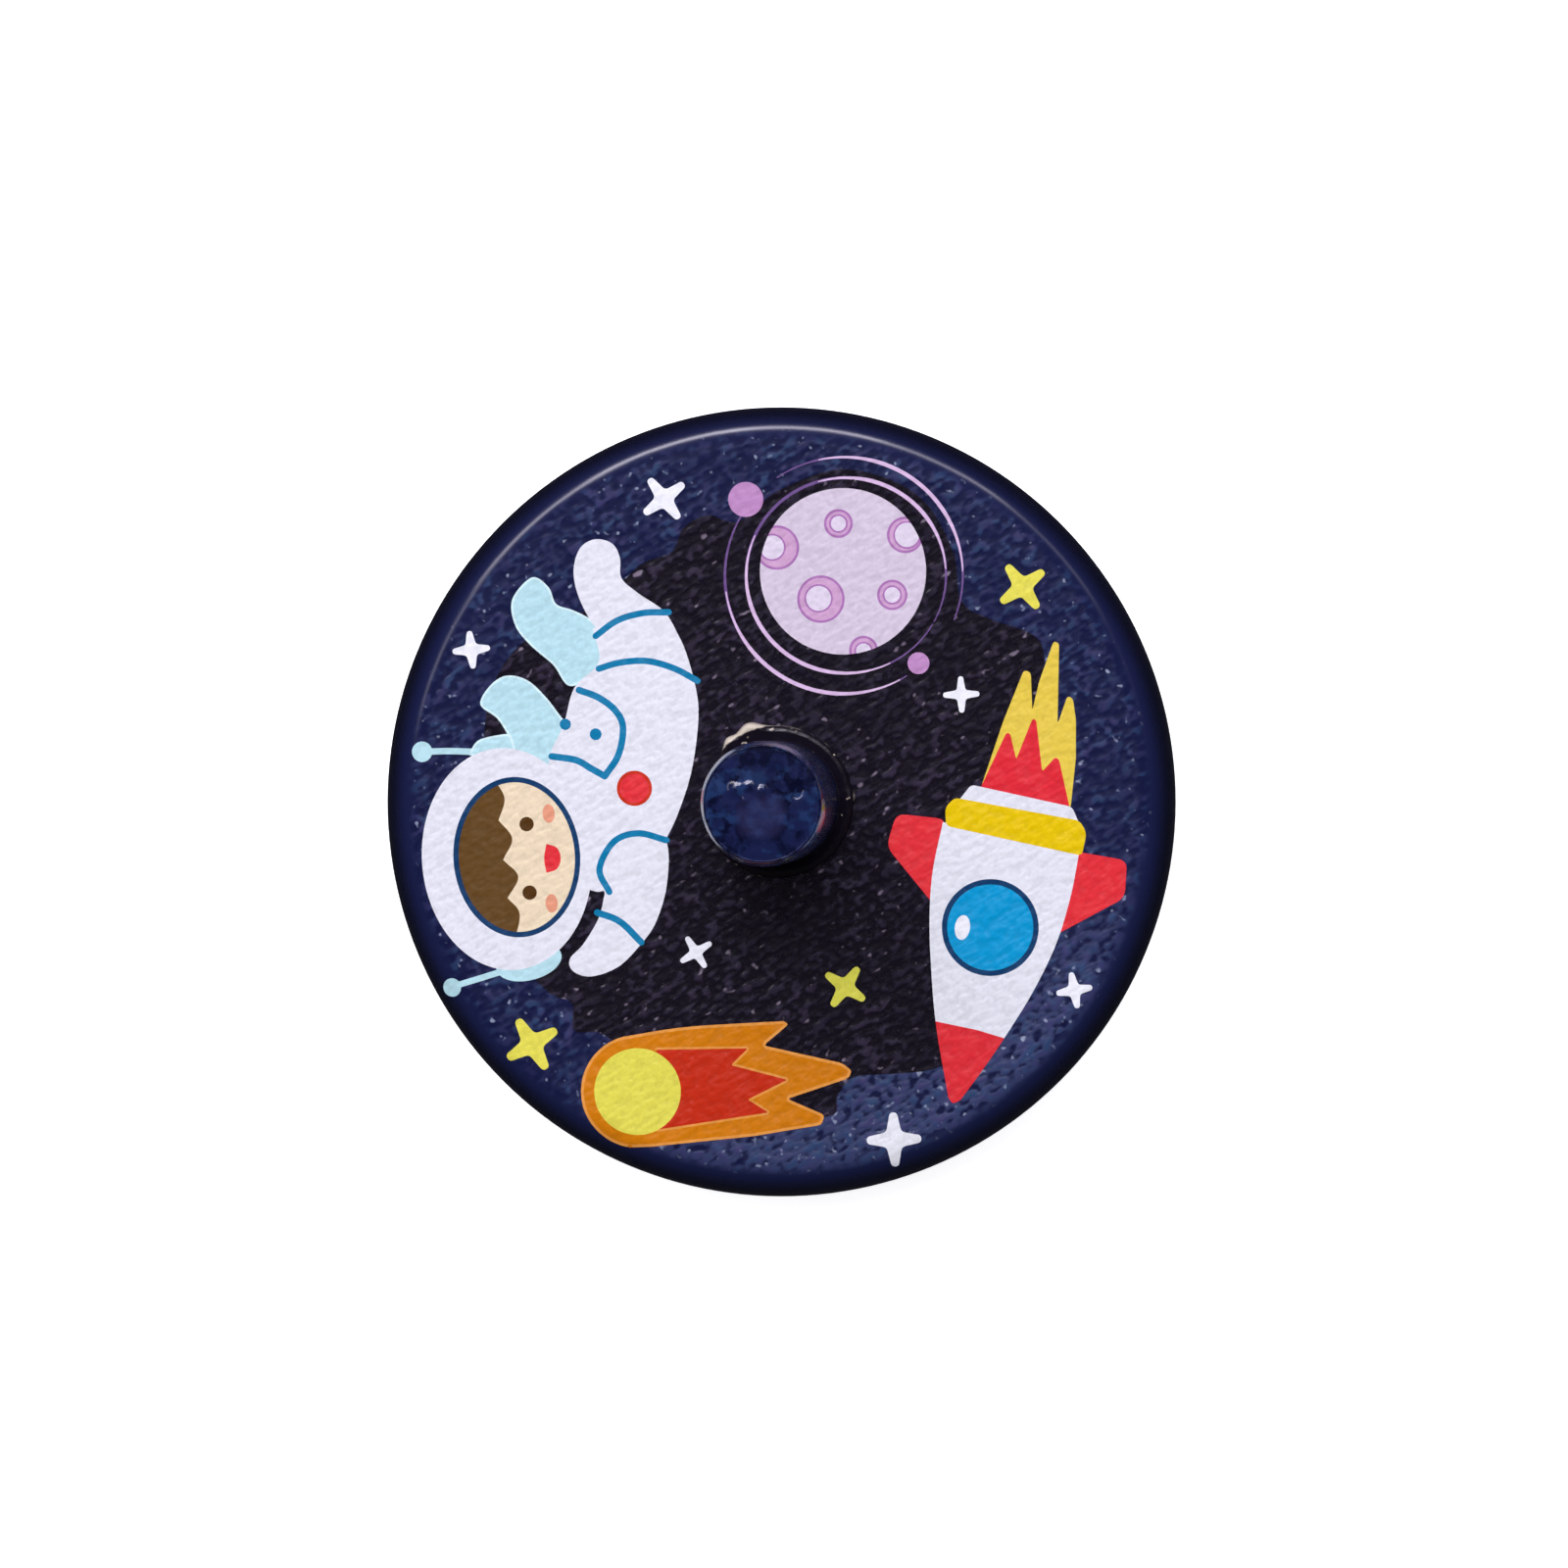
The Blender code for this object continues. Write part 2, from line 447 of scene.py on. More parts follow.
def draw_far_side():
    """The astronaut's light blue parts: two feelers, the ear pads, and the far leg and arm."""
    ear = outline(curve(
        (-20.4, 3.1), (-19.8, 4.0), (-18.7, 4.35), (-17.4, 4.45), (-15.8, 3.9), (-15.2, 2.6),
        (-17.8, 2.4), (-20.4, 3.1),
    ))
    far_leg = outline(curve(
        (-11.4, 9.0), (-13.6, 7.6), (-14.8, 9.0), (-16.3, 10.3), (-17.3, 11.6), (-17.5, 13.3),
        (-16.2, 14.75), (-15.1, 14.1), (-14.6, 13.0), (-13.5, 12.6), (-12.2, 11.9), (-11.4, 10.8),
    ), curve((-11.4, 10.8), (-11.4, 9.0)))
    far_arm = outline(curve(
        (-13.0, 4.2), (-14.2, 5.5), (-15.2, 6.8), (-16.5, 8.0), (-17.9, 8.3), (-19.0, 7.6), (-19.6, 6.4),
        (-18.5, 5.5), (-17.7, 4.3),
    ), curve((-17.7, 4.3), (-16.5, 1.4), (-13.4, 1.2), (-13.0, 4.2)))
    return printed(
        "print_astronaut",
        ("sky", stroke([(-23.4, 3.3), (-21.8, 3.35), (-20.0, 3.3)], 0.42)),
        ("sky", circle((-23.45, 3.3), 0.68)),
        ("sky", stroke([(-21.5, -12.15), (-20.0, -11.7), (-18.4, -11.2)], 0.4)),
        ("sky", circle((-21.5, -12.2), 0.62)),
        *edged("sky", "sky_pale", ear, 0.14),
        ("sky", ellipse((-16.4, -10.5), (2.2, 1.2), 14.0)),
        *edged("sky", "sky_pale", far_leg, 0.14),
        *edged("sky", "sky_pale", far_arm, 0.14),
    )


def draw_suit():
    """The astronaut's white parts, with the suit's seams and buttons."""
    near_leg = outline(curve(
        (-11.6, 11.0), (-12.4, 12.0), (-13.2, 13.7), (-13.45, 15.3), (-13.0, 16.7), (-12.0, 17.25),
        (-10.9, 16.95), (-10.4, 16.0), (-10.3, 14.7), (-9.2, 13.7), (-7.4, 12.4), (-6.2, 10.2),
    ), curve((-6.2, 10.2), (-11.6, 11.0)))
    body = outline(
        curve((-12.2, 11.4), (-11.8, 9.2), (-13.4, 7.5), (-14.1, 5.1), (-15.1, 2.5), (-14.2, -1.0),
              (-13.0, -3.0)),
        curve((-13.0, -3.0), (-12.7, -5.3), (-12.1, -5.85), (-11.2, -5.7), (-9.0, -4.4), (-7.4, -2.5)),
        curve((-7.4, -2.5), (-6.6, -0.8), (-5.7, 2.0), (-5.25, 5.3), (-5.4, 7.4), (-6.2, 10.2),
              (-7.4, 12.4)),
    )
    near_arm = outline(curve(
        (-11.4, -6.0), (-11.9, -4.4), (-10.8, -2.5), (-9.2, -1.95), (-7.4, -2.5), (-7.3, -5.3),
        (-8.0, -7.8), (-9.0, -9.3), (-10.5, -10.8), (-12.3, -11.45), (-13.5, -11.1), (-13.7, -10.3),
        (-12.8, -9.3), (-11.8, -7.6), (-11.4, -6.0),
    ))
    seams = [
        (curve((-12.0, 10.9), (-10.6, 11.9), (-8.9, 12.4), (-7.2, 12.45)), 0.42),
        (curve((-11.8, 8.75), (-10.4, 9.15), (-8.6, 9.25), (-6.8, 8.75), (-5.3, 7.95)), 0.42),
        (curve((-13.1, 7.35), (-11.8, 6.85), (-10.7, 6.0), (-10.2, 4.9), (-10.5, 3.1),
               (-11.4, 1.7)), 0.44),
        (curve((-11.4, 1.7), (-12.3, 2.2), (-13.3, 2.75), (-14.9, 3.0)), 0.44),
        (curve((-11.1, -5.9), (-11.75, -4.4), (-10.8, -2.6), (-9.2, -2.05), (-7.35, -2.5)), 0.42),
        (curve((-11.9, -7.25), (-10.4, -7.85), (-9.0, -9.2)), 0.44),
    ]
    return printed(
        "print_astronaut",
        ("white", near_leg),
        ("white", body),
        ("white", near_arm),
        ("white", ellipse((-17.85, -3.75), (5.6, 7.3), 5.0)),
        *[("teal", stroke(line, width)) for line, width in seams],
        ("teal", circle((-12.0, 4.45), 0.4)),
        ("teal", circle((-14.0, 5.1), 0.38)),
        ("ember", circle((-9.45, 0.9), 1.16)),
        ("red", circle((-9.45, 0.9), 0.96)),
    )


def draw_visor():
    """The helmet's glass, and a plain smiling face behind it."""
    visor, visor_radii, visor_turn = (-17.2, -3.62), (4.18, 5.27), 4.0
    frame_width = 0.35
    cheek = (0.4, 0.62)
    glass = ellipse(visor, visor_radii, visor_turn)
    face = ellipse(visor, (visor_radii[0] - frame_width, visor_radii[1] - frame_width), visor_turn)
    fringe = outline(
        curve((-18.6, 1.4), (-18.0, 0.2), (-18.4, -1.2)),
        curve((-18.4, -1.2), (-17.5, -2.4), (-18.1, -3.8)),
        curve((-18.1, -3.8), (-17.1, -4.9), (-17.8, -6.3)),
        curve((-17.8, -6.3), (-17.0, -7.4), (-17.5, -9.6)),
        curve((-17.5, -9.6), (-24.0, -6.0), (-23.0, 0.5), (-18.6, 1.4)),
    )
    mouth = outline(
        curve((-15.25, -2.75), (-15.4, -3.7), (-15.25, -4.65)),
        curve((-15.25, -4.65), (-14.55, -4.4), (-14.3, -3.7), (-14.55, -3.0), (-15.25, -2.75)),
    )
    return printed(
        "print_astronaut",
        ("deep_blue", glass),
        ("skin", face),
        ("hair", fringe, face),
        *[("eye", circle(place, 0.48)) for place in ((-16.55, -1.45), (-16.35, -5.95))],
        *[("cheek", ellipse(place, cheek, 4.0), face) for place in ((-15.1, -0.75), (-14.9, -6.65))],
        ("red", mouth, face),
    )


def draw_astronaut():
    """A plain cartoon astronaut who floats with their head to the left and their feet up."""
    return draw_far_side() + draw_suit() + draw_visor()


def draw_picture():
    """Every shape of the picture, each one printed over those before it."""
    return draw_nebula() + draw_moon() + draw_rocket() + draw_comet() + draw_astronaut() + draw_stars()


# -------- surfaces

def paint_relief(point):
    """How far the thick paint stands above or below its mean surface, which is smoother on the rim."""
    broad = noise.noise(point / (2.6 * MM))
    fine = noise.noise(point / (1.1 * MM) + Vector((7.0, 3.0, 5.0)))
    rim = min(1.0, max(0.0, (math.hypot(point.x, point.y) - FLAT_RADIUS) / MM))
    relief = (BROAD_RELIEF * broad + FINE_RELIEF * fine) * MM
    return relief * (1.0 - RIM_SMOOTHING * rim) - RIM_SINK * MM * rim


def dipped_relief(point):
    """How far the dipped paint on the handle stands up, with lumps and pits on the handle's end."""
    lumps = noise.noise(point / (1.5 * MM)) + 0.5 * noise.noise(point / (0.6 * MM))
    near_end = min(1.0, max(0.0, (point.z - END_Z + END_REACH) / END_FADE))
    height = lumps * (LUMP_RELIEF + END_LUMP_RELIEF * near_end) - END_SINK * near_end
    if point.z > END_Z - END_EDGE_RADIUS:
        across = point.x / MM + 0.25 * noise.noise(point / (0.9 * MM))
        along = point.y / MM + 0.25 * noise.noise(point / (0.9 * MM) + Vector((11.0, 4.0, 9.0)))
        for place, radius, rise, steepness in END_LUMPS:
            away = math.hypot(across - place[0], along - place[1]) / radius
            height += rise * math.exp(-min(away, 3.0) ** steepness)
    return height * MM


def raise_points(points, normals, relief):
    """Move points along their normals by a relief, and tilt the normals to suit it."""
    step = 0.02 * MM
    axes = [Vector((step, 0.0, 0.0)), Vector((0.0, step, 0.0)), Vector((0.0, 0.0, step))]
    raised, tilted = [], []
    for point, normal in zip(map(Vector, points), map(Vector, normals)):
        height = relief(point)
        slope = Vector([(relief(point + axis) - height) / step for axis in axes])
        slope -= normal * slope.dot(normal)
        raised.append(point + normal * height)
        tilted.append((normal - slope).normalized())
    return np.array(raised), np.array(tilted)


def face_surface(places):
    """The bare disc's points and normals above places on its face, given in millimetres."""
    flat = places * MM
    radius = np.linalg.norm(flat, axis=1)
    sine = np.clip((radius - FLAT_RADIUS) / EDGE_RADIUS, 0.0, 1.0)
    cosine = np.sqrt(1 - sine ** 2)
    outwards = flat / np.maximum(radius, MM)[:, None]
    points = np.column_stack([flat, FACE_Z - EDGE_RADIUS * (1 - cosine)])
    return points, np.column_stack([outwards * sine[:, None], cosine])


def ring(radius, count, turn=0.0):
    """Places round a circle."""
    angles = math.tau * (np.arange(count) + turn) / count
    return radius * np.column_stack([np.cos(angles), np.sin(angles)])


def far_from_lines(places, starts, ends, distance):
    """Which places are at least this far from every line."""
    clear = np.ones(len(places), bool)
    for start, end in zip(starts, ends):
        near = np.where(clear & (np.abs(places - start) < distance + OUTLINE_STEP * 3).all(1))[0]
        if not len(near):
            continue
        along = end - start
        share = np.clip((places[near] - start) @ along / max(along @ along, 1e-12), 0.0, 1.0)
        gap = np.linalg.norm(places[near] - start - share[:, None] * along, axis=1)
        clear[near[gap < distance]] = False
    return clear


def face_grid():
    """Places spread over the face in rings, closer together where its edge turns down."""
    rings = []
    radius = BORE_RADIUS / MM + FACE_SPACING
    while radius < FACE_RADIUS / MM - EDGE_SPACING / 2:
        on_edge = radius > FLAT_RADIUS / MM - EDGE_SPACING
        rings.append(ring(radius, round(math.tau * radius / FACE_SPACING), len(rings) % 2 / 2))
        radius += EDGE_SPACING if on_edge else FACE_SPACING
    return np.vstack(rings)


def without_bore(places, triangles):
    """The triangles outside the bore, all turned to face up."""
    middles = places[triangles].mean(1)
    in_bore = np.linalg.norm(middles, axis=1) < BORE_RADIUS / MM * math.cos(math.pi / DISC_SEGMENTS)
    kept = triangles[~in_bore]
    corner = places[kept]
    first, second = corner[:, 1] - corner[:, 0], corner[:, 2] - corner[:, 0]
    downwards = first[:, 0] * second[:, 1] < first[:, 1] * second[:, 0]
    kept[downwards] = kept[downwards][:, ::-1]
    return kept, middles[~in_bore]


def face_net(shapes):
    """Triangles over the face that follow every outline of the picture.

    They come with their middles, and with the points of the outer ring and of the bore's ring.
    """
    loops = [ring(FACE_RADIUS / MM, DISC_SEGMENTS), ring(BORE_RADIUS / MM, DISC_SEGMENTS)]
    loops += [shape.outline for shape in shapes]
    edges = []
    count = 0
    for loop in loops:
        index = np.arange(len(loop)) + count
        edges += list(zip(index.tolist(), np.roll(index, -1).tolist()))
        count += len(loop)

    starts = np.vstack(loops)
    ends = np.vstack([np.roll(loop, -1, 0) for loop in loops])
    grid = face_grid()
    grid = grid[far_from_lines(grid, starts, ends, OUTLINE_CLEARANCE)]
    places = np.vstack([starts, grid])
    found = delaunay_2d_cdt([Vector(place) for place in places], edges, [], 0, 1e-6)

    net_places = np.array([tuple(place) for place in found[0]])
    rims = np.zeros(2 * DISC_SEGMENTS, int)
    for index, sources in enumerate(found[3]):
        for source in sources:
            if source < len(rims):
                rims[source] = index
    triangles, middles = without_bore(net_places, np.array(found[2]))
    return net_places, triangles, middles, rims[:DISC_SEGMENTS], rims[DISC_SEGMENTS:]


def top_shapes(shapes, middles):
    """The index of the uppermost shape over each triangle, or -1 where the paint is bare."""
    found = np.full(len(middles), -1)
    for index, shape in enumerate(shapes):
        covered = inside(middles, shape.outline)
        if shape.within is not None:
            covered &= inside(middles, shape.within)
        found[covered] = index if shape.piece else -1
    return found


def rim_section():
    """The disc's section from the face's outer ring, down round the rim and back to the bore.

    Each row is a radius, a height, and the radial and upward parts of the normal.
    """
    rows = []
    start = math.degrees(math.asin((FACE_RADIUS - FLAT_RADIUS) / EDGE_RADIUS))
    for angle in np.linspace(start, 90.0, 9)[1:]:
        rows.append((angle, FACE_Z - EDGE_RADIUS))
    for angle in np.linspace(90.0, 180.0, 17):
        rows.append((angle, UNDERSIDE_Z + EDGE_RADIUS))
    section = []
    for angle, centre_z in rows:
        sine, cosine = math.sin(math.radians(angle)), math.cos(math.radians(angle))
        section.append((FLAT_RADIUS + EDGE_RADIUS * sine, centre_z + EDGE_RADIUS * cosine, sine, cosine))
    mouth = 0.2 * MM
    for radius in np.linspace(FLAT_RADIUS, BORE_RADIUS + mouth, 26)[1:]:
        section.append((radius, UNDERSIDE_Z, 0.0, -1.0))
    for angle in np.radians([30.0, 60.0, 90.0]):
        sine, cosine = math.sin(angle), math.cos(angle)
        radius = BORE_RADIUS + mouth * (1 - sine)
        section.append((radius, UNDERSIDE_Z + mouth * (1 - cosine), -sine, -cosine))
    return np.array(section)


def make_object(name, points, faces, normals=None):
    """A smooth mesh object, with its own vertex normals if they are given."""
    mesh = bpy.data.meshes.new(name)
    mesh.from_pydata(np.asarray(points).tolist(), [], faces)
    mesh.shade_smooth()
    if normals is not None:
        mesh.normals_split_custom_set_from_vertices(np.asarray(normals).tolist())
    mesh.validate()
    obj = bpy.data.objects.new(name, mesh)
    bpy.context.scene.collection.objects.link(obj)
    return obj


def grid_faces(rows, around):
    """Quads between rows of point indices, each row a closed ring of this many points."""
    faces = []
    for upper, lower in zip(rows, rows[1:]):
        for step in range(around):
            after = (step + 1) % around
            faces.append((upper[step], lower[step], lower[after], upper[after]))
    return faces


def make_disc(points, normals, triangles, outer, bore):
    """The whole painted disc as one closed solid: the face's net, the turned rim and the bore."""
    section = rim_section()
    circle_points = ring(1.0, DISC_SEGMENTS)
    turned_points, turned_normals = [], []
    for radius, z, radial, upward in section:
        turned_points.append(np.column_stack([circle_points * radius, np.full(DISC_SEGMENTS, z)]))
        turned_normals.append(np.column_stack([circle_points * radial, np.full(DISC_SEGMENTS, upward)]))
    raised, tilted = raise_points(np.vstack(turned_points), np.vstack(turned_normals), paint_relief)
    count = len(points)
    rows = [outer.tolist()]
    for row in range(len(section)):
        start = count + row * DISC_SEGMENTS
        rows.append(list(range(start, start + DISC_SEGMENTS)))
    rows.append(bore.tolist())
    faces = triangles.tolist() + grid_faces(rows, DISC_SEGMENTS)
    return make_object("disc_body", np.vstack([points, raised]), faces, np.vstack([normals, tilted]))


def make_print(name, points, normals, triangles, inks, materials):
    """One printed piece: a thin closed slab of ink on the paint, with a material for each ink."""
    used, corners = np.unique(triangles, return_inverse=True)
    corners = corners.reshape(triangles.shape)
    count = len(used)
    upper = points[used] + normals[used] * INK_HEIGHT
    faces = corners.tolist() + (corners[:, ::-1] + count).tolist()
    face_inks = inks * 2

    sides = {}
    for index, (first, second, third) in enumerate(corners.tolist()):
        for start, end in ((first, second), (second, third), (third, first)):
            if (end, start) in sides:
                del sides[(end, start)]
            else:
                sides[(start, end)] = index
    for (start, end), index in sides.items():
        faces.append((start, start + count, end + count, end))
        face_inks.append(inks[index])

    obj = make_object(
        name, np.vstack([upper, points[used]]), faces, np.vstack([normals[used], -normals[used]])
    )
    slots = sorted(set(face_inks))
    for ink in slots:
        obj.data.materials.append(materials[ink])
    obj.data.polygons.foreach_set("material_index", [slots.index(ink) for ink in face_inks])
    return obj


def turned_grid(section, around, relief):
    """A solid turned from a section that starts and ends on the axis, with a relief on its surface."""
    spokes = ring(1.0, around)
    points, normals = [], []
    radii, heights = np.array(section).T
    tangents = np.gradient(np.array(section), axis=0)
    for radius, z, (over, down) in zip(radii[1:-1], heights[1:-1], tangents[1:-1]):
        length = math.hypot(over, down)
        points.append(np.column_stack([spokes * radius, np.full(around, z)]))
        normals.append(np.column_stack([spokes * -down / length, np.full(around, over / length)]))
    raised, _ = raise_points(np.vstack(points), np.vstack(normals), relief)
    rows = [list(range(row * around, (row + 1) * around)) for row in range(len(points))]
    top, bottom = len(raised), len(raised) + 1
    ends = [(0.0, 0.0, heights[0]), (0.0, 0.0, heights[-1])]
    poles, _ = raise_points(ends, [(0.0, 0.0, 1.0), (0.0, 0.0, -1.0)], relief)
    faces = grid_faces(rows, around)
    for step in range(around):
        after = (step + 1) % around
        faces.append((top, rows[0][step], rows[0][after]))
        faces.append((bottom, rows[-1][after], rows[-1][step]))
    return np.vstack([raised, poles]), faces


def spindle_section():
    """The spindle's section from the middle of the handle's end down its side to the point."""
    section = [(0.0, END_Z)]
    dome_radius = SPINDLE_RADIUS - END_EDGE_RADIUS
    for radius in np.arange(0.12 * MM, dome_radius, 0.12 * MM):
        share = max(0.0, (radius - END_FLAT_RADIUS) / (dome_radius - END_FLAT_RADIUS))
        section.append((radius, END_Z - 0.02 * MM - END_DOME_DROP * share ** 2))
    edge_z = END_Z - END_DOME_DROP - END_EDGE_RADIUS
    for angle in np.radians(np.linspace(90.0, 0.0, 16)):
        radius = dome_radius + END_EDGE_RADIUS * math.cos(angle)
        section.append((radius, edge_z + END_EDGE_RADIUS * math.sin(angle)))

    ball = TIP_BALL_RADIUS
    tangent_radius = ball * math.cos(TIP_HALF_ANGLE)
    tangent_z = ball - ball * math.sin(TIP_HALF_ANGLE)
    shoulder_z = tangent_z + (SPINDLE_RADIUS - tangent_radius) / math.tan(TIP_HALF_ANGLE)
    for z in np.linspace(edge_z, shoulder_z + 0.5 * MM, 70)[1:]:
        section.append((SPINDLE_RADIUS, z))
    for share in np.linspace(0.0, 1.0, 24):
        radius = SPINDLE_RADIUS + (tangent_radius - SPINDLE_RADIUS) * share
        soften = 0.12 * MM * math.exp(-share * 14.0)
        section.append((radius - soften, shoulder_z + (tangent_z - shoulder_z) * share))
    for angle in np.linspace(-math.degrees(TIP_HALF_ANGLE), -90.0, 10)[1:-1]:
        turn = math.radians(angle)
        section.append((ball * math.cos(turn), ball + ball * math.sin(turn)))
    return section + [(0.0, 0.0)]


def make_spindle():
    """The dipped spindle, lumpy at the end of its handle."""
    points, faces = turned_grid(spindle_section(), SPINDLE_SEGMENTS, dipped_relief)
    return make_object("spindle_body", points, faces)


def bead_size(angle):
    """The bead's width and height at an angle round the spindle, larger where a blob is."""
    place = Vector((math.cos(angle), math.sin(angle), 0.0))
    wobble = noise.noise(place * 1.7) + 0.5 * noise.noise(place * 5.0)
    blob = 0.0
    for centre, spread, size in GLUE_BLOBS:
        away = math.degrees(abs((angle - math.radians(centre) + math.pi) % math.tau - math.pi))
        blob += size * math.exp(-(away / spread) ** 2)
    width = BEAD_WIDTH * (0.88 + 0.06 * wobble + 0.5 * blob)
    height = BEAD_HEIGHT * (0.55 + 0.08 * wobble + 0.3 * blob)
    return width, height


def make_bead():
    """The collar of dried glue round the handle's root. Its top rises to a lip, then rounds off."""
    inner = SPINDLE_RADIUS - 0.03 * MM
    floor = FACE_Z - 0.01 * MM
    edge = 0.4 * MM
    points = []
    for step in range(BEAD_SEGMENTS):
        angle = math.tau * step / BEAD_SEGMENTS
        width, height = bead_size(angle)
        crest = inner + width - edge
        section = [(inner, 0.74 * height), (inner + 0.12 * MM, 0.72 * height)]
        for share in (0.3, 0.6, 0.85):
            section.append((inner + share * (crest - inner), height * (0.7 + 0.2 * share)))
        for share in np.linspace(0.0, 1.0, 12):
            section.append((crest + edge * share, height * (0.92 - 0.25 * share - 0.67 * share ** 7)))
        section.append((inner, 0.0))
        for radius, z in section:
            points.append((radius * math.cos(angle), radius * math.sin(angle), floor + z))
    around = len(section)
    rows = []
    for step in range(BEAD_SEGMENTS + 1):
        start = step % BEAD_SEGMENTS * around
        rows.append(list(range(start, start + around)))
    obj = make_object("glue_ring", points, grid_faces(rows, around))
    obj.data.set_sharp_from_angle(angle=math.radians(50.0))
    return obj


# -------- materials

def linear(colour):
    """An sRGB colour such as "#1e2347" as linear values with alpha."""
    shares = [int(colour[start:start + 2], 16) / 255 for start in (1, 3, 5)]
    return [s / 12.92 if s <= 0.04045 else ((s + 0.055) / 1.055) ** 2.4 for s in shares] + [1.0]


class Look:
    """A material in the making: a Principled shader, and short ways to add nodes in front of it."""

    def __init__(self, name, roughness):
        self.material = bpy.data.materials.new(name)
        self.material.use_nodes = True
        self.tree = self.material.node_tree
        self.shader = self.tree.nodes["Principled BSDF"]
        self.shader.inputs["Roughness"].default_value = roughness
        self.place = self.node("TexCoord").outputs["Object"]

    def node(self, kind, inputs=None, **settings):
        """Add a node. Its inputs are set by name or number, to a value or another node's output."""
        made = self.tree.nodes.new("ShaderNode" + kind)
        for name, value in settings.items():
            setattr(made, name, value)
        for name, value in (inputs or {}).items():
            if isinstance(value, bpy.types.NodeSocket):
                self.tree.links.new(value, made.inputs[name])
            else:
                made.inputs[name].default_value = value
        return made

    def noise(self, size, detail, place=None):
        """Noise with features of about this size in millimetres, from 0 to 1."""
        inputs = {"Vector": place or self.place, "Scale": 1 / (size * MM), "Detail": detail}
        return self.node("TexNoise", inputs).outputs["Fac"]

    def ramp(self, value, low, high, to_low=0.0, to_high=1.0):
        """Stretch a value's range from low and high to other limits, smoothly and clamped."""
        inputs = {"Value": value, "From Min": low, "From Max": high, "To Min": to_low, "To Max": to_high}
        return self.node("MapRange", inputs, interpolation_type="SMOOTHSTEP").outputs["Result"]

    def maths(self, operation, first, second):
        """One operation on two values."""
        return self.node("Math", {0: first, 1: second}, operation=operation).outputs["Value"]

    def times(self, first, second):
        """The product of two values."""
        return self.maths("MULTIPLY", first, second)

    def plus(self, first, second):
        """The sum of two values."""
        return self.maths("ADD", first, second)

    def mix(self, share, first, second):
        """A blend of two colours. The node's sockets share names, so they go by number."""
        made = self.tree.nodes.new("ShaderNodeMix")
        made.data_type = "RGBA"
        for number, value in ((0, share), (6, first), (7, second)):
            if isinstance(value, bpy.types.NodeSocket):
                self.tree.links.new(value, made.inputs[number])
            else:
                made.inputs[number].default_value = linear(value) if isinstance(value, str) else value
        return made.outputs[2]

    def streaks(self, turn, stretch):
        """Coordinates drawn out along one direction over the face, at this angle in degrees."""
        inputs = {"Vector": self.place, "Rotation": (0.0, 0.0, math.radians(turn)),
                  "Scale": (stretch, 1.0, 1.0)}
        return self.node("Mapping", inputs, vector_type="TEXTURE").outputs["Vector"]

    def radius(self):
        """The distance from the spindle's axis."""
        flat = self.node("VectorMath", {0: self.place, 1: (1.0, 1.0, 0.0)}, operation="MULTIPLY")
        return self.node("VectorMath", {0: flat.outputs[0]}, operation="LENGTH").outputs["Value"]

    def on_flat(self, start, end):
        """1 on the disc's flat faces, fading to 0 between two distances from where its rim turns down."""
        return self.ramp(self.radius(), FLAT_RADIUS + start * MM, FLAT_RADIUS + end * MM, 1.0, 0.0)

    def bump(self, height, depth):
        """Feed the shader's normal from a height of 0 to 1 that stands for this many millimetres."""
        made = self.node("Bump", {"Height": height, "Distance": depth * MM})
        self.feed("Normal", made.outputs["Normal"])

    def feed(self, socket, value):
        """Feed one of the shader's sockets."""
        self.tree.links.new(value, self.shader.inputs[socket])


def wrinkles(look):
    """The fine pebbled and creased skin of the lacquer, as a height of 0 to 1."""
    pebbles = look.noise(0.5, 0.0)
    creases = look.noise(0.5, 1.0, look.streaks(33.0, 2.2))
    skin = look.plus(look.times(pebbles, 0.35), look.times(creases, 0.65))
    return look.ramp(skin, 0.32, 0.68)


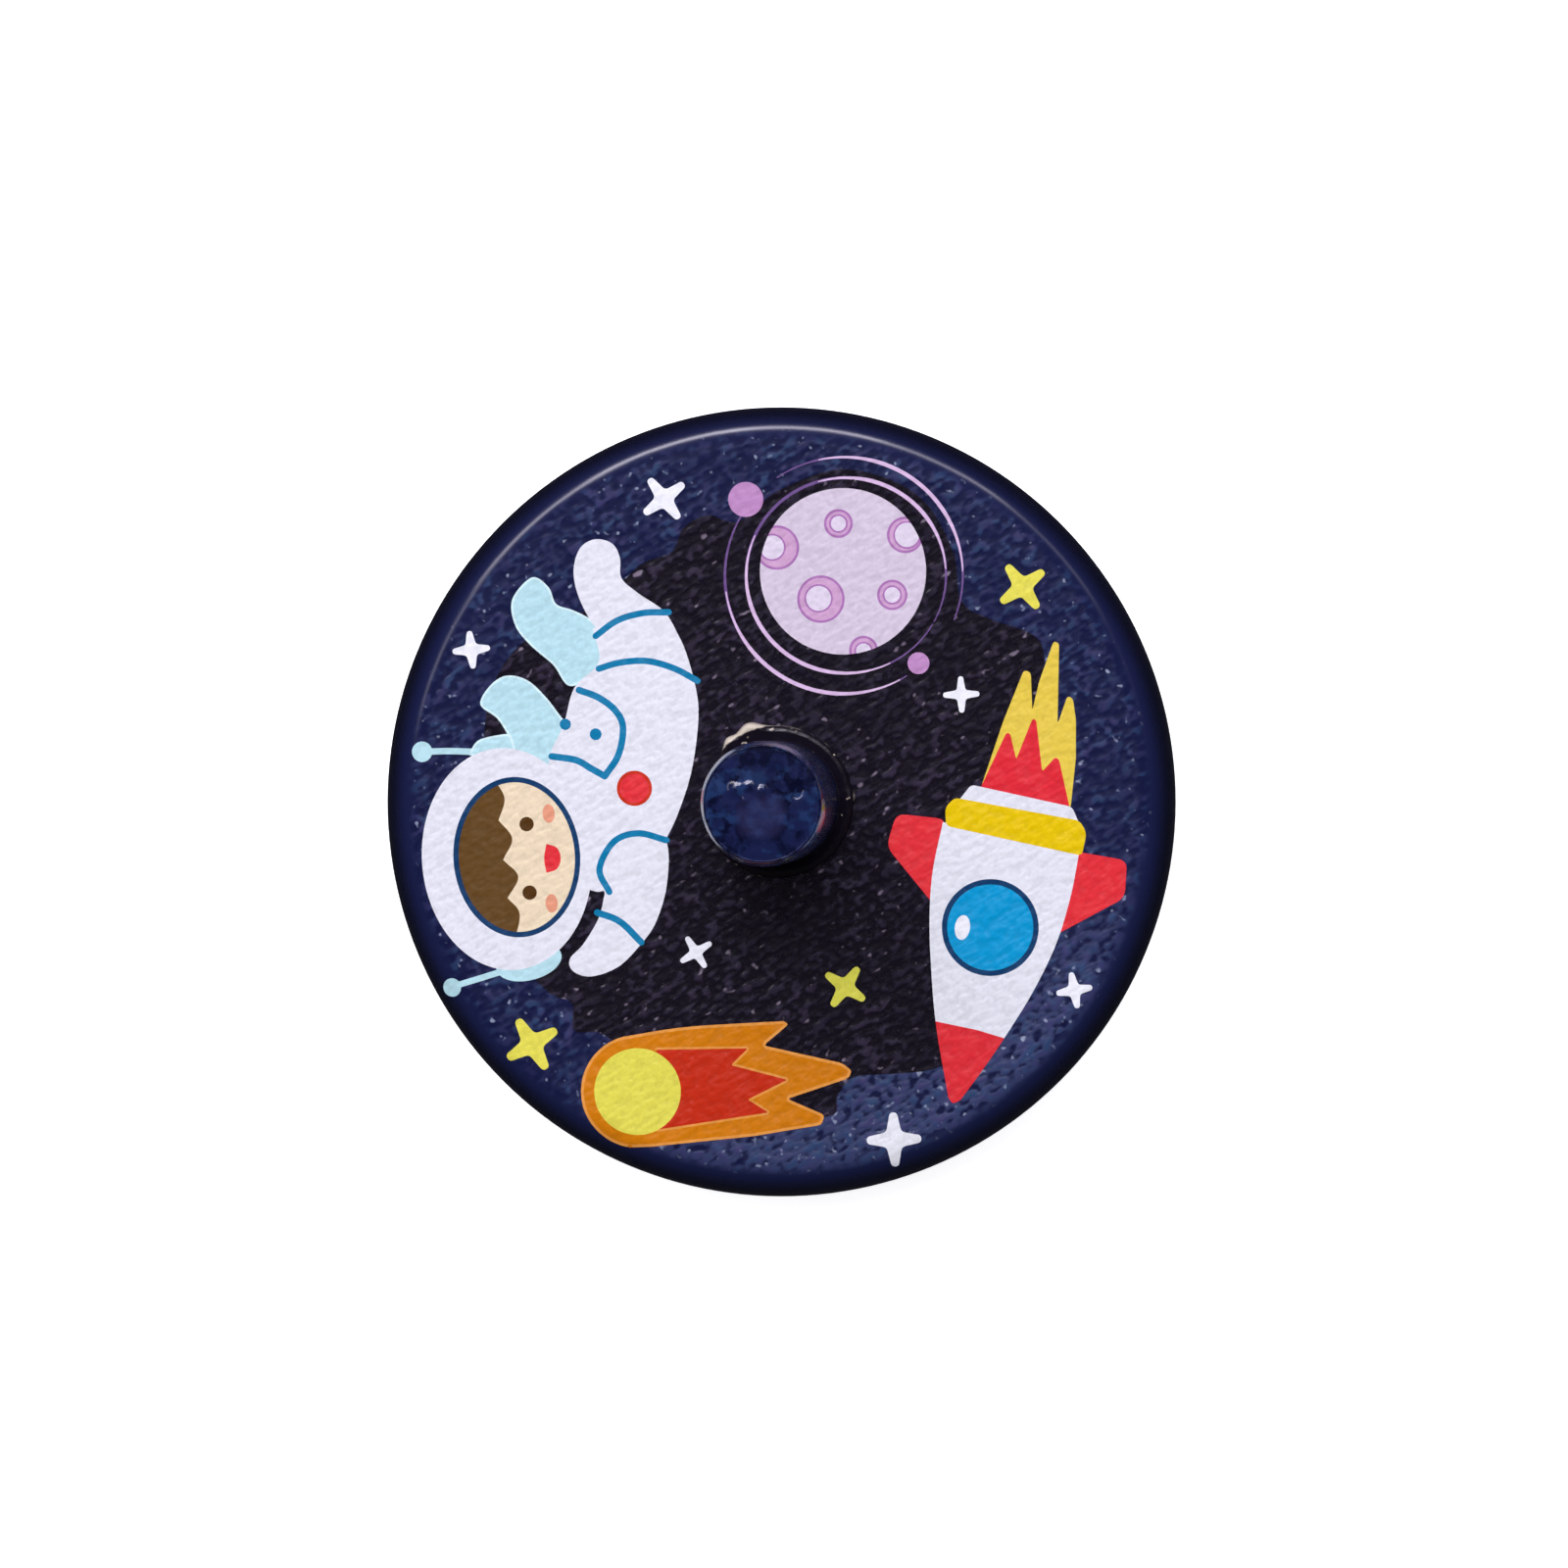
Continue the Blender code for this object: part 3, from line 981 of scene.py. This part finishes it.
def navy_look():
    """Glossy navy paint, pebbled on the flat faces, smooth round the rim and painted darker there as
    shade.

    Its crests carry painted highlights in patches, strongest toward the picture's bottom, where a painted
    sheen also lightens the paint; light specks are painted glints, and the troughs carry painted shade.
    """
    look = Look("navy_paint", 0.3)
    inside_rim = look.on_flat(0.2, 1.1)
    skin = wrinkles(look)
    # Toward the picture's bottom the paint is lightened by a painted sheen, standing in for a reflection.
    towards = look.node("VectorMath", {0: look.place, 1: (0.4, -1.0, 0.0)}, operation="DOT_PRODUCT")
    lower = look.ramp(towards.outputs["Value"], 10.0 * MM, 25.0 * MM)
    colour = look.mix(look.times(lower, look.times(inside_rim, 0.65)), NAVY, NAVY_PAINTED_SHEEN)
    height = look.node("SeparateXYZ", {"Vector": look.place}).outputs["Z"]
    # Painted shade on the rim's edge as it turns down, on its upper side.
    rim = look.ramp(look.radius(), DISC_RADIUS - 1.6 * MM, DISC_RADIUS - 0.3 * MM)
    rim = look.times(rim, look.ramp(height, FACE_Z - 4.5 * MM, FACE_Z - 2.5 * MM))
    colour = look.mix(rim, colour, NAVY_EDGE_SHADE)
    # Painted highlights on the pebbles' crests, in patches and strongest toward the picture's bottom.
    patches = look.ramp(look.noise(2.6, 3.0), 0.36, 0.66, 0.3, 0.9)
    wear_and_sheen = look.plus(patches, look.times(lower, 0.7))
    crests = look.ramp(skin, 0.35, 1.0, 0.0, 0.85)
    crests = look.times(crests, look.times(inside_rim, wear_and_sheen))
    crest_colour = look.mix(look.ramp(look.noise(1.3, 1.0), 0.4, 0.6), NAVY_CREST_HIGHLIGHT_PURPLE, NAVY_CREST_HIGHLIGHT_TEAL)
    # Painted shade in the troughs.
    colour = look.mix(look.times(look.ramp(skin, 0.5, 0.0), inside_rim), colour, NAVY_TROUGH_SHADE)
    colour = look.mix(look.maths("MINIMUM", crests, 1.0), colour, crest_colour)
    # Painted glints: light specks, a little more toward the picture's bottom.
    speck_level = look.plus(look.noise(0.56, 1.0), look.times(lower, 0.03))
    specks = look.ramp(speck_level, 0.67, 0.8)
    look.feed("Base Color", look.mix(look.times(specks, inside_rim), colour, NAVY_PAINTED_GLINT))
    flat = look.on_flat(-0.1, 0.6)
    look.feed("Roughness", look.ramp(flat, 0.0, 1.0, 0.18, 0.27))
    look.bump(look.times(skin, flat), 0.05)
    return look.material


def nebula_look():
    """Near-black purple ink with fine slanting fibres, painted highlights on their crests and painted
    glints in specks.
    """
    look = Look("ink_nebula", 0.3)
    skin = wrinkles(look)
    patches = look.ramp(look.noise(3.4, 3.0), 0.38, 0.66, 0.3, 1.0)
    # Painted highlights on the crests, in patches.
    crests = look.times(look.ramp(skin, 0.45, 1.0), patches)
    colour = look.mix(crests, NEBULA, NEBULA_CREST_HIGHLIGHT)
    # Painted glints in slanting specks.
    specks = look.ramp(look.noise(0.56, 1.0, look.streaks(33.0, 1.5)), 0.68, 0.79)
    look.feed("Base Color", look.mix(specks, colour, NEBULA_PAINTED_GLINT))
    look.feed("Roughness", look.ramp(look.noise(0.9, 2.0), 0.3, 0.7, 0.24, 0.34))
    look.bump(skin, 0.06)
    return look.material


def ink_look(name, colour):
    """An opaque ink with a fine print grain, and painted shade in the troughs of the same wrinkled
    lacquer.
    """
    look = Look(name, 0.34)
    skin = wrinkles(look)
    grain = look.ramp(look.noise(0.24, 1.0), 0.35, 0.65, 0.0, 0.14)
    # Painted shade in the troughs; the grain above is print.
    troughs = look.ramp(skin, 0.5, 0.05, 0.0, 0.18)
    look.feed("Base Color", look.mix(look.plus(grain, troughs), colour, shade(colour)))
    look.shader.inputs["Specular IOR Level"].default_value = 0.3
    look.feed("Roughness", look.ramp(look.noise(0.9, 2.0), 0.3, 0.7, 0.28, 0.4))
    look.bump(skin, 0.032)
    return look.material


def shade(colour):
    """The darker tone of an ink, for painted shade in a trough and for its print grain."""
    shares = [int(int(colour[start:start + 2], 16) * TROUGH_SHADE) for start in (1, 3, 5)]
    return "#{:02x}{:02x}{:02x}".format(*shares)


def spindle_look():
    """Thick dipped navy paint in pools and bare patches, with painted shade for the pits toward the top
    of the handle's end, and the wood bared by wear at the very point.
    """
    look = Look("dipped_navy", 0.2)
    mottle = look.noise(1.0, 3.0)
    parts = look.node("SeparateXYZ", {"Vector": look.place}).outputs
    colour = look.mix(look.ramp(mottle, 0.38, 0.56), HANDLE_DARK, HANDLE_NAVY)
    colour = look.mix(look.ramp(look.noise(0.9, 2.0), 0.48, 0.64), colour, HANDLE_TEAL)
    # Painted shade for the pits, darker toward the top of the handle's end as the picture reads.
    upper = look.plus(look.noise(0.8, 2.0), look.times(parts["Y"], 45.0))
    dark = look.times(look.ramp(upper, 0.55, 0.65), 0.38)
    colour = look.mix(dark, colour, HANDLE_DARK)
    middle = (-0.1 * MM, -0.75 * MM, END_Z)
    off_middle = look.node("VectorMath", {0: look.place, 1: middle}, operation="DISTANCE")
    swell = look.plus(off_middle.outputs["Value"], look.times(mottle, 1.2 * MM))
    colour = look.mix(look.ramp(swell, 1.8 * MM, 2.5 * MM, 0.5, 0.0), colour, HANDLE_FLAT)
    ragged = look.times(look.noise(0.7, 3.0), 1.4 * MM)
    wear_and_sheen = look.ramp(look.plus(parts["Z"], ragged), 1.1 * MM, 1.5 * MM, 1.0, 0.0)
    look.feed("Base Color", look.mix(wear_and_sheen, colour, BARE_WOOD))
    side = look.ramp(look.radius(), SPINDLE_RADIUS - 0.8 * MM, SPINDLE_RADIUS - 0.4 * MM, 0.13, 0.2)
    look.feed("Roughness", look.maths("MAXIMUM", side, look.times(wear_and_sheen, 0.6)))
    look.bump(mottle, 0.05)
    return look.material


def bead_look():
    """Dried glue under near-black lacquer, with pale glue showing where blobs were squeezed out."""
    look = Look("dried_glue", 0.3)
    ragged = look.plus(look.radius(), look.times(look.noise(0.7, 2.0), 0.3 * MM))
    pale = look.ramp(ragged, 5.1 * MM, 5.24 * MM)
    specks = look.ramp(look.noise(0.5, 1.0), 0.71, 0.78)
    look.feed("Base Color", look.mix(look.maths("MAXIMUM", pale, specks), LACQUER, PALE_GLUE))
    look.bump(look.noise(0.4, 2.0), 0.06)
    return look.material


# -------- the studio

# The strip of soft boxes: from -STRIP_REACH to STRIP_REACH degrees, brightest at STRIP_PEAK. It rises
# from STRIP_RISE degrees at its middle, by STRIP_LIFT degrees at an azimuth of STRIP_LIFT_AT.
STRIP_REACH = 66
STRIP_STEP = 22
STRIP_RISE = 36.0
STRIP_LIFT = 14.0
STRIP_LIFT_AT = 75.0
STRIP_OVERLAP = 1.1
STRIP_DISTANCE = 1.2
STRIP_HEIGHT = 0.17
STRIP_POWER = 3.0
STRIP_PEAK = -14.0
STRIP_SPREAD = 38.0
STRIP_TINT = (0.98, 0.93, 1.07)

OVERHEAD_ELEVATION = 76.0
OVERHEAD_DISTANCE = 1.2
OVERHEAD_SIZE = 0.6
OVERHEAD_POWER = 10.8

FLOOR_SIZE = 3.0
FLOOR_GLOW = 0.85
WORLD_FILL = 0.03

VIEW_DISTANCE = 0.5
VIEW_WIDTH = 0.1036
VIEW_TILT_X = math.radians(3.3)
VIEW_TILT_Y = math.radians(0.27)
VIEW_CENTRE = Vector((0.15 * MM, 1.17 * MM, UNDERSIDE_Z + 4.0 * MM))


def make_camera():
    """The camera nearly above the handle, leaning a little to the right."""
    data = bpy.data.cameras.new("camera")
    data.lens = data.sensor_width * VIEW_DISTANCE / VIEW_WIDTH
    data.clip_start = 0.01
    camera = bpy.data.objects.new("camera", data)
    bpy.context.scene.collection.objects.link(camera)
    away = Vector((math.tan(VIEW_TILT_X), math.tan(VIEW_TILT_Y), 1.0)).normalized()
    right = Vector((0.0, 1.0, 0.0)).cross(away).normalized()
    up = away.cross(right)
    axes = Matrix((right, up, away)).transposed()
    camera.matrix_world = Matrix.Translation(VIEW_CENTRE + away * VIEW_DISTANCE) @ axes.to_4x4()
    bpy.context.scene.camera = camera


def make_light(name, azimuth, elevation, distance, width, height, power):
    """A soft box aimed at the disc. Azimuth 0 is behind the picture's top, and 90 is at its right."""
    data = bpy.data.lights.new(name, "AREA")
    data.shape = "RECTANGLE"
    data.size = width
    data.size_y = height
    data.energy = power
    light = bpy.data.objects.new(name, data)
    bpy.context.scene.collection.objects.link(light)
    turn, rise = math.radians(azimuth), math.radians(elevation)
    away = Vector((math.sin(turn) * math.cos(rise), math.cos(turn) * math.cos(rise), math.sin(rise)))
    light.location = Vector((0.0, 0.0, FACE_Z)) + away * distance
    light.rotation_euler = away.to_track_quat("Z", "Y").to_euler()
    return light


def make_floor():
    """A white floor that glows a little, like a light table."""
    size = FLOOR_SIZE
    points = [(-size, -size, 0.0), (size, -size, 0.0), (size, size, 0.0), (-size, size, 0.0)]
    floor = make_object("floor", points, [(0, 1, 2, 3)])
    look = Look("floor_white", 0.8)
    shader = look.shader.inputs
    shader["Base Color"].default_value = (0.9, 0.9, 0.9, 1.0)
    shader["Specular IOR Level"].default_value = 0.0
    shader["Emission Color"].default_value = (1.0, 1.0, 1.0, 1.0)
    shader["Emission Strength"].default_value = FLOOR_GLOW
    floor.data.materials.append(look.material)
    floor.visible_glossy = False


def make_world():
    """White surroundings for the camera, nearly dark ones for what the paint reflects."""
    world = bpy.data.worlds.new("studio")
    bpy.context.scene.world = world
    world.use_nodes = True
    tree = world.node_tree
    background = tree.nodes["Background"]
    background.inputs["Color"].default_value = (1.0, 1.0, 1.0, 1.0)
    path = tree.nodes.new("ShaderNodeLightPath")
    strength = tree.nodes.new("ShaderNodeMapRange")
    strength.inputs["To Min"].default_value = WORLD_FILL
    strength.inputs["To Max"].default_value = 1.0
    tree.links.new(path.outputs["Is Camera Ray"], strength.inputs["Value"])
    tree.links.new(strength.outputs["Result"], background.inputs["Strength"])


def make_studio():
    """Camera, floor, surroundings, a soft overhead light, and a low strip of soft boxes.

    The strip bends round behind the picture's top and is what the glossy paint reflects. The overhead
    light is like one behind crossed polarisers: it lights the paint without a glare.
    """
    make_camera()
    make_floor()
    make_world()
    size = OVERHEAD_SIZE
    overhead = make_light(
        "overhead", 0.0, OVERHEAD_ELEVATION, OVERHEAD_DISTANCE, size, size, OVERHEAD_POWER
    )
    overhead.visible_glossy = False
    for azimuth in range(-STRIP_REACH, STRIP_REACH + 1, STRIP_STEP):
        rise = STRIP_RISE + STRIP_LIFT * (azimuth / STRIP_LIFT_AT) ** 2
        spacing = STRIP_DISTANCE * math.radians(STRIP_STEP) * math.cos(math.radians(rise))
        width = STRIP_OVERLAP * spacing
        power = STRIP_POWER * math.exp(-((azimuth - STRIP_PEAK) / STRIP_SPREAD) ** 2)
        box = make_light("strip", azimuth, rise, STRIP_DISTANCE, width, STRIP_HEIGHT, power)
        box.data.color = STRIP_TINT
    bpy.context.scene.view_settings.view_transform = "Standard"


# -------- assembly

def make_top():
    """Every visible piece of the top, on the frame's one body."""
    shapes = draw_picture()
    places, triangles, middles, outer, bore = face_net(shapes)
    points, normals = raise_points(*face_surface(places), paint_relief)
    chosen = top_shapes(shapes, middles)

    disc = make_disc(points, normals, triangles, outer, bore)
    disc.data.materials.append(navy_look())
    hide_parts("disc")
    pieces = [(disc, "disc")]

    materials = {ink: ink_look("ink_" + ink, colour) for ink, colour in INKS.items()}
    materials["nebula"] = nebula_look()
    for name in sorted({shape.piece for shape in shapes if shape.piece}):
        members = [index for index, shape in enumerate(shapes) if shape.piece == name]
        mine = np.isin(chosen, members)
        inks = [shapes[index].ink for index in chosen[mine]]
        pieces.append((make_print(name, points, normals, triangles[mine], inks, materials), "disc"))

    spindle = make_spindle()
    spindle.data.materials.append(spindle_look())
    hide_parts("spindle")
    pieces.append((spindle, "spindle"))

    bead = make_bead()
    bead.data.materials.append(bead_look())
    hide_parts("glue_bead")
    pieces.append((bead, "glue_bead"))

    for piece, slot in pieces:
        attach(piece, "root")


make_studio()
make_top()
